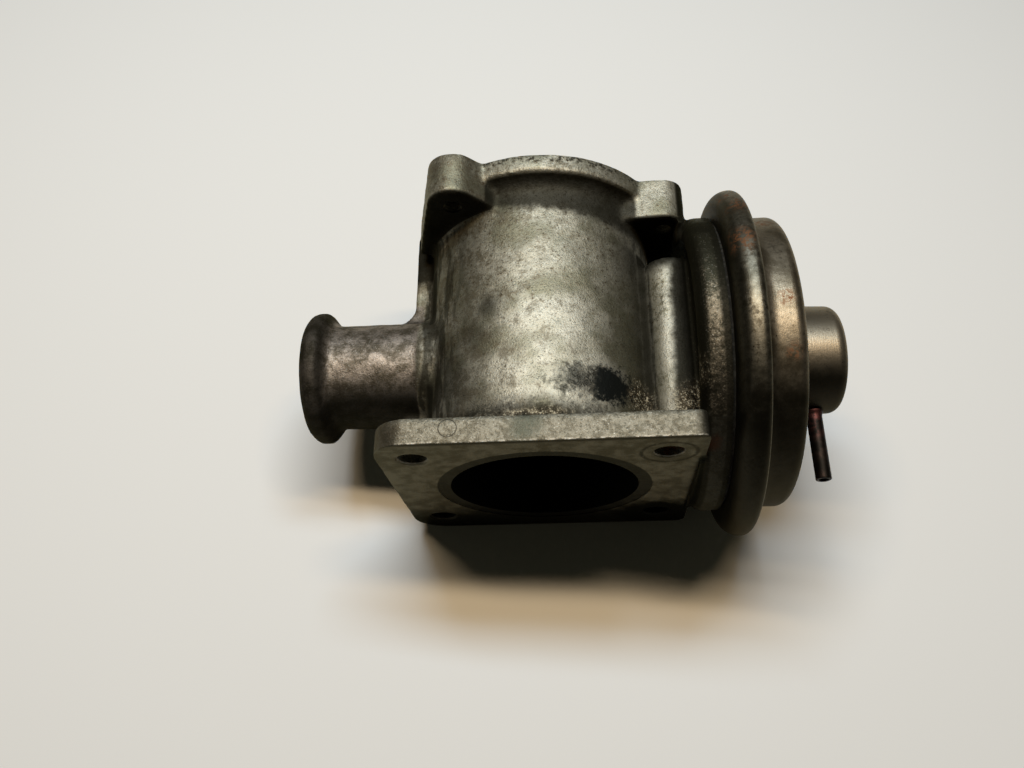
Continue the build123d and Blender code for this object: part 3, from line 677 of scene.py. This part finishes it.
# dried crust beside the oil, in the corner by the dish and along the upper root
crust_zone = metal.spot((25.6, 16.5, 18.5), 6.5, 0.7).most(metal.spot((38.5, 15, 19.5), 7.5, 0.8))
crust_zone = crust_zone.most(metal.spot((41.5, 19, 31), 6.5, 0.8))
root_crust = (metal.y + 0.30 * ragged).below(9.2, 11.0) * metal.z.above(24, 28)
root_crust = root_crust * metal.x.below(4, 11) * metal.x.above(-13, -6)
crust_zone = crust_zone.most(root_crust * 0.75) * metal.y.above(6.9, 7.3)
salt = crust_zone * (grain + 0.8 * crumbs).above(0.98, 1.08)
pits = crust_zone * (grain + 0.8 * crumbs).below(0.80, 0.88)
tone = metal.mix(tone, CRUST, crust_zone * crumbs.above(0.35, 0.5) * 0.65)
tone = metal.mix(tone, SALT, salt * 0.85)
tone = metal.mix(tone, PIT, pits * 0.85)

# machined manifold face: worn sealing band, ring left by a washer, and dark edges, the one beside the dish
# being painted shade
FACE_SHADE = (0.085, 0.076, 0.050)
FACE_CLEAN = (0.16, 0.146, 0.102)
SEALING_BAND = (0.018, 0.018, 0.015)
WASHER_MARK = (0.028, 0.025, 0.018)
WASHER_R = 6.7
FACE_TOP_EDGE = (0.03, 0.027, 0.02)
FACE_LOW_EDGE = (0.008, 0.008, 0.006)
FACE_SHADE_BY_DISH = (0.010, 0.010, 0.007)
GREASE = (0.005, 0.005, 0.004)
face_tone = metal.mix(FACE_SHADE, FACE_CLEAN, (patches + 0.4 * (broad - 0.5)).above(0.38, 0.62))
face_tone = metal.mix(face_tone, SEALING_BAND, (from_bore + 0.05 * ragged).below(28.3, 28.8) * 0.85)
from_bolt = ((metal.x - BOLT_HALF[0]) ** 2 + (metal.z - BOLT_HALF[1]) ** 2) ** 0.5
washer_ring = abs(from_bolt - WASHER_R).below(0.15, 0.8)
face_tone = metal.mix(face_tone, WASHER_MARK, washer_ring * crumbs.above(0.3, 0.5) * 0.8)
face_tone = metal.mix(face_tone, FACE_TOP_EDGE, (metal.z + 0.12 * ragged).above(34.2, 35.6) * 0.85)
face_tone = metal.mix(face_tone, FACE_LOW_EDGE, (metal.z + ragged).below(-27, -12) * 0.95)
# painted shade on the face's edge beside the dish
face_tone = metal.mix(face_tone, FACE_SHADE_BY_DISH, metal.x.above(38.0, 39.3) * metal.z.below(20, 25))
tone = metal.mix(tone, face_tone, on_face)
grease = metal.spot((32.5, 0, -27), 15, 0.4) * metal.y.below(3, 5) * metal.x.below(39.5, 40)
tone = metal.mix(tone, GREASE, grease)

# rust in one bolt hole and in the corner by the dish, soot in the gas passages
FRESH_RUST = (0.17, 0.065, 0.028)
OLD_RUST = (0.06, 0.022, 0.011)
SOOT_LINING = (0.006, 0.006, 0.005)
rust = metal.spot((BOLT_HALF[0], 3, BOLT_HALF[1]), 3.9, 0.2).most(metal.spot((41.5, 1, 25), 3.6, 0.6) * 0.8)
rust_tone = metal.mix(FRESH_RUST, OLD_RUST, metal.x.above(38, 39))
tone = metal.mix(tone, rust_tone, rust * (1 - on_face) * 0.9)
in_bore = from_bore.below(25.2, 25.5) * (1 - on_face)
in_passage = from_stem.below(12.6, 12.8) * metal.x.below(-10, -9)
soot = in_bore.most(in_passage)
tone = metal.mix(tone, SOOT_LINING, soot)

# stains, the ring left by an ejector pin, and the worn edge of the manifold flange
STAIN = (0.065, 0.070, 0.052)
PIN_LINE = (0.035, 0.032, 0.024)
CORNER_STAIN = (0.085, 0.070, 0.048)
WORN_EDGE = (0.52, 0.49, 0.42)
PIN_AT = (-20.9, 3.75)
PIN_R = 2.15
FLANGE_TOP = (35.8, 36.0)
from_pin = ((metal.x - PIN_AT[0]) ** 2 + (metal.y - PIN_AT[1]) ** 2) ** 0.5
pin_line = abs(from_pin - PIN_R).below(0.05, 0.22) * metal.z.above(*FLANGE_TOP)
stain = metal.spot((-2.5, 4.2, 36.3), 6, 0.8) * metal.z.above(*FLANGE_TOP)
worn_edge = metal.y.above(0.05, 0.15) * (metal.y + 0.15 * ragged).below(0.3, 0.7) * metal.z.above(35.5, 35.8)
tone = metal.mix(tone, STAIN, stain * crumbs.above(0.30, 0.5) * 0.8)
tone = metal.mix(tone, PIN_LINE, pin_line * 0.85)
tone = metal.mix(tone, CORNER_STAIN, metal.spot((-39, 3.5, 34), 8, 0.8) * on_flange * 0.7)
tone = metal.mix(tone, WORN_EDGE, worn_edge * (patches + 0.3 * crumbs).above(0.60, 0.78) * 0.8)

# rougher where the grime, the painted shade, the soot and the oil lie
dirt = darkening.most(soot).most(oil)
dress(housing, metal.finish(
    Base_Color=tone, Specular_Tint=(0.55, 0.54, 0.45, 1), Metallic=0.92 - 0.8 * salt,
    Roughness=0.47 + 0.16 * patches + 0.12 * dirt + 0.2 * gaps,
    Normal=metal.bump(crumbs, 0.10, metal.bump(grain, 0.10))))
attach(housing, "housing")
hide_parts("housing", "exhaust_neck", "actuator_dish", "screw_lugs")

# ---- Actuator can
# Two pressings of plated steel that hold the diaphragm and its spring: a shallow pan, which three
# screws fix to the dish, and a deep-drawn cover. The pan's rim is rolled over the cover's flange.
SHEET = 1.0
PAN_FACE = 47.0
PAN_HOLE_R = 7.5
RIM_R = 47.3
RIM_END = 54.2
RIM_LIP_R = 45.0
DRUM_R = 39.65
DRUM_END = 64.4
HUB_R = (15.4, 14.7)
HUB_END = 80.9
COVER_EDGE_R = 45.9
NIPPLE_X = 73.0
NIPPLE_HOLE_R = 1.82
STEEL_DIRT = (0.05, 0.042, 0.028)
STEEL_SPECK = (0.012, 0.010, 0.007)
STEEL_GRAIN = (0.50, 0.46, 0.38)
# colour of the painted shade on the can, also used next to the dish
STEEL_SHADE = (0.013, 0.012, 0.008)
STEEL_RUST = (0.17, 0.066, 0.024)
NOWHERE = 999


def drawn_shell(name, outer, inner):
    """Turned sheet piece about the stem from its outer and inner outlines of (x, radius) points."""
    shell = bmesh.new()
    lathe(shell, ALONG_X, STEM, outer + inner[::-1] + outer[:1], 256)
    return piece(name, shell, smooth_below=50)


def sheet_steel(name, base, worn, rust_spots, blotched, bright_from_x=NOWHERE, edge_highlight_x=NOWHERE):
    """Plated pressed steel, brown with age, with blotches, rust and dirt specks; painted shade on the sides
    that face down and forward, and a painted highlight along the rolled edge where one is asked for.
    """
    shop = Shop(name)
    cloudy = shop.noise(8, 5, 0.65)
    crumbs = shop.noise(1.1, 4, 0.7)
    drawn = shop.noise(0.9, 3, 0.6, stretch=(3.0, 0.15, 0.15))
    fine = shop.noise(0.35, 2, 0.7)
    bright = shop.x.above(bright_from_x, bright_from_x + 0.5)
    tone = shop.mix(base, worn, cloudy.above(0.38, 0.62).most(bright))
    tone = shop.mix(tone, STEEL_DIRT, (cloudy + 0.6 * crumbs).above(0.82, 1.00) * blotched)
    tone = shop.mix(tone, STEEL_SPECK, (crumbs + 0.3 * fine).above(0.80, 0.87) * 0.85)
    tone = shop.mix(tone, STEEL_GRAIN, fine.above(0.60, 0.72) * crumbs.below(0.42, 0.5) * blotched * 0.6)
    from_stem = ((shop.y - STEM_Y) ** 2 + shop.z ** 2) ** 0.5
    # painted shade on the sides that face down and forward, and the same dark colour next to the dish
    up_and_back = shop.z / from_stem + 0.45 * (shop.y - STEM_Y) / from_stem
    darkened = (up_and_back + 0.5 * (cloudy - 0.5)).below(0.38, 1.02) * 0.94
    darkened = darkened.most(shop.x.below(48.6, 50.4) * (0.75 + 0.2 * crumbs))
    tone = shop.mix(tone, STEEL_SHADE, darkened)
    rust = fine.above(0.70, 0.78) * 0.5
    for centre, radius in rust_spots:
        rust = rust.most(shop.spot(centre, radius, 0.9) * (crumbs + 0.4 * fine).above(0.62, 0.80))
    tone = shop.mix(tone, STEEL_RUST, rust * 0.85)
    # painted highlight along the pan rim's rolled edge
    tone = shop.mix(tone, worn, shop.x.above(edge_highlight_x, edge_highlight_x + 0.2) * crumbs.above(0.3, 0.5) * 0.8)
    return shop.finish(
        Base_Color=tone, Specular_Tint=(0.7, 0.67, 0.58, 1), Metallic=0.95 - 0.3 * rust,
        Roughness=0.36 + 0.10 * cloudy + 0.1 * darkened + 0.2 * rust,
        Normal=shop.bump(fine, 0.03, shop.bump(drawn, 0.02)))


pan_look = sheet_steel(
    "aged_pan_steel", base=(0.075, 0.066, 0.047), worn=(0.21, 0.19, 0.145), blotched=0.9, edge_highlight_x=53.7,
    rust_spots=[
        ((50.2, 46.4, 45.8), 6.5), ((52, 60, 40), 6.0), ((49, 66, 34), 3.5), ((46.6, 3.6, 35.8), 2.5)])
pan_outer = rounded(
    [(PAN_FACE, PAN_HOLE_R), (PAN_FACE, RIM_R), (RIM_END, RIM_R), (RIM_END, RIM_LIP_R)],
    [0, 4.8, 2.2, 0], steps=14)
pan_inner = rounded(
    [(PAN_FACE + SHEET, PAN_HOLE_R), (PAN_FACE + SHEET, RIM_R - SHEET), (RIM_END - SHEET, RIM_R - SHEET),
     (RIM_END - SHEET, RIM_LIP_R)], [0, 3.8, 1.2, 0], steps=10)
pan = drawn_shell("pan", pan_outer, pan_inner)
dress(pan, pan_look)
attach(pan, "housing")
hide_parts("lower_pan")

cover_look = sheet_steel(
    "aged_cover_steel", base=(0.15, 0.122, 0.082), worn=(0.31, 0.262, 0.192), blotched=0.5, bright_from_x=65,
    rust_spots=[((59, 60, 30), 4.0), ((61, 20, 37), 3.0), ((60, 33, 39.6), 3.0)])
cover_outer = rounded(
    [(RIM_END - SHEET, COVER_EDGE_R), (RIM_END - SHEET, DRUM_R), (DRUM_END, DRUM_R), (DRUM_END, HUB_R[0]),
     (HUB_END, HUB_R[1]), (HUB_END, 0)], [0, 4.6, 3.0, 1.5, 3.2, 0], steps=12)
cover_inner = rounded(
    [(RIM_END - 2 * SHEET, COVER_EDGE_R), (RIM_END - 2 * SHEET, DRUM_R - SHEET),
     (DRUM_END - SHEET, DRUM_R - SHEET), (DRUM_END - SHEET, HUB_R[0] - SHEET),
     (HUB_END - SHEET, HUB_R[1] - SHEET), (HUB_END - SHEET, 0)],
    [0, 5.6, 2.0, 2.5, 2.2, 0], steps=10)
cover = drawn_shell("drawn_cover", cover_outer, cover_inner)
nipple_hole = [(0, 0), (0, NIPPLE_HOLE_R), (28, NIPPLE_HOLE_R), (28, 0)]
machine(cover, drill(ALONG_Y, Vector((NIPPLE_X, 0, 0)), nipple_hole, 48))
shade(cover, 50)
dress(cover, cover_look)
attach(cover, "housing")
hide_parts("cover")

# ---- Vacuum nipple
# A short steel tube on the side of the hub, where the vacuum hose is pushed on. Its swaged collar is
# brazed to the hub, and the heat has stained it dark.
NIPPLE_R = 2.05
NIPPLE_BORE_R = 1.25
COLLAR_R = 2.75
COLLAR_Y = (18.0, 19.3)
SPIGOT_R = 1.8
SPIGOT_END = 21.2
nipple_shell = bmesh.new()
nipple_side = rounded(
    [(SPIGOT_END, NIPPLE_BORE_R), (0, NIPPLE_BORE_R), (0, NIPPLE_R), (COLLAR_Y[0], NIPPLE_R),
     (COLLAR_Y[1], COLLAR_R), (COLLAR_Y[1], SPIGOT_R), (SPIGOT_END, SPIGOT_R), (SPIGOT_END, NIPPLE_BORE_R)],
    [0, 0.2, 0.3, 2.0, 0.3, 0, 0.2, 0], steps=5)
lathe(nipple_shell, ALONG_Y, Vector((NIPPLE_X, 0, 0)), nipple_side, 64)
nipple = piece("nipple", nipple_shell)
tube_steel = Shop("stained_tube_steel")
heat_stain = tube_steel.noise(3, 4, 0.65)
tube_tone = tube_steel.mix((0.010, 0.008, 0.006), (0.035, 0.022, 0.017), heat_stain.above(0.4, 0.7))
brazed_end = tube_steel.y.above(10, 16) * heat_stain.above(0.42, 0.62)
tube_tone = tube_steel.mix(tube_tone, (0.11, 0.035, 0.030), brazed_end * 0.8)
dress(nipple, tube_steel.finish(
    Base_Color=tube_tone, Metallic=0.9, Roughness=0.5, Normal=tube_steel.bump(tube_steel.noise(0.4), 0.03)))
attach(nipple, "housing")
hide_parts("vacuum_nipple")


# ---- Inner pieces
# Seat, poppet, stem, guide, seals, screws and the parts inside the can, whose turned and pressed
# shapes are already right. Each gets its own worn finish, black with soot where exhaust gas reaches it.
def plain_look(name, base, metallic, roughness, darkening, grime_share=0.5, blot_mm=2.5, grain_mm=0.3):
    """Uneven finish between a clean colour and its grime."""
    shop = Shop(name)
    blots = shop.noise(blot_mm, 4, 0.6)
    fine = shop.noise(grain_mm, 2)
    darkened = blots.above(0.62 - 0.4 * grime_share, 0.78 - 0.4 * grime_share)
    tone = shop.mix(base, darkening, darkened)
    return shop.finish(Base_Color=tone, Metallic=metallic, Roughness=roughness + 0.15 * darkened,
                       Normal=shop.bump(fine, 0.02))


SOOT = (0.012, 0.011, 0.010)
RUBBER_BLACK = (0.030, 0.029, 0.028)
RUBBER_DUST = (0.065, 0.058, 0.048)
sooty_steel = plain_look("sooty_steel", (0.16, 0.145, 0.13), 0.6, 0.5, SOOT, 0.9)
turned_steel = plain_look("turned_steel", (0.50, 0.48, 0.45), 0.95, 0.32, (0.16, 0.13, 0.10), 0.2)
guide_bronze = plain_look("guide_bronze", (0.48, 0.30, 0.14), 0.9, 0.40, (0.05, 0.035, 0.02), 0.7)
graphite = plain_look("graphite", (0.05, 0.05, 0.052), 0.2, 0.55, SOOT, 0.6, 1.2)
moulded_rubber = plain_look("moulded_rubber", RUBBER_BLACK, 0.0, 0.62, RUBBER_DUST, 0.3, 3)
gasket_fibre = plain_look(
    "gasket_fibre", (0.030, 0.028, 0.022), 0.0, 0.9, (0.012, 0.011, 0.008), 0.6, 1.5, 0.15)
for look, nodes in (
        (sooty_steel, ("seat_ring", "valve_disc", "valve_stem", "dirt_shield")),
        (turned_steel, ("seal_retainer", "backing_plate", "piston_cup", "stem_washer", "stem_nut",
                        "spring_seat", "pan_screws")),
        (guide_bronze, ("guide_bush",)),
        (graphite, ("stem_scraper",)),
        (moulded_rubber, ("stem_seal",)),
        (gasket_fibre, ("heat_gasket",))):
    for node_name in nodes:
        dress(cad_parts[node_name], look)


coil = bmesh.new()
coil.from_mesh(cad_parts["return_spring"].data)
coil_spring = piece("coil_spring", coil, smooth_below=50)
dress(coil_spring, plain_look("spring_wire", (0.30, 0.29, 0.28), 0.95, 0.38, (0.07, 0.05, 0.04), 0.3, 4))
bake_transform(coil_spring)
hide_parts("return_spring")

# ---- Diaphragm
# One moulded rubber sheet, turned as two halves that meet at the crown of its loop. The outer half is
# clamped in the rim and the inner one on the piston, and the loop rolls along between them.
RUBBER = 0.8
EDGE_X = (48.1, 52.18)
EDGE_R = (42.0, 46.1)
LIP_X = 51.9
CROWN_X = 58.0
CROWN_R = 32.8
LOOP_R = (27.4, 38.2)
PISTON_X = 50.1
STEM_HOLE_R = 2.52
outer_front = rounded(
    [(CROWN_X, CROWN_R), (CROWN_X, LOOP_R[1]), (LIP_X, LOOP_R[1]), (LIP_X, EDGE_R[0]), (EDGE_X[1], EDGE_R[0]),
     (EDGE_X[1], EDGE_R[1]), (EDGE_X[0], EDGE_R[1]), (EDGE_X[0], EDGE_R[0])], [0, 4.8, 1.4, 0, 0, 0, 3.6, 0])
outer_back = rounded(
    [(CROWN_X - RUBBER, CROWN_R), (CROWN_X - RUBBER, LOOP_R[1] - RUBBER),
     (LIP_X - RUBBER, LOOP_R[1] - RUBBER), (LIP_X - RUBBER, EDGE_R[0])], [0, 4.0, 2.2, 0])
inner_front = rounded(
    [(CROWN_X, CROWN_R), (CROWN_X, LOOP_R[0]), (PISTON_X, LOOP_R[0]), (PISTON_X, STEM_HOLE_R)],
    [0, 4.8, 1.6, 0])
inner_back = rounded(
    [(CROWN_X - RUBBER, CROWN_R), (CROWN_X - RUBBER, LOOP_R[0] + RUBBER),
     (PISTON_X - RUBBER, LOOP_R[0] + RUBBER), (PISTON_X - RUBBER, STEM_HOLE_R)], [0, 4.0, 2.4, 0])
rolling_rubber = plain_look("rolling_rubber", RUBBER_BLACK, 0.0, 0.62, RUBBER_DUST, 0.3, 3)
for half_name, front, back, held_by, drawn_by in (
        ("diaphragm_outer_half", outer_front, outer_back, "housing", "valve"),
        ("diaphragm_inner_half", inner_front, inner_back, "valve", "housing")):
    half = drawn_shell(half_name, front, back)
    dress(half, rolling_rubber)
    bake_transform(half)
    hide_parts("diaphragm")
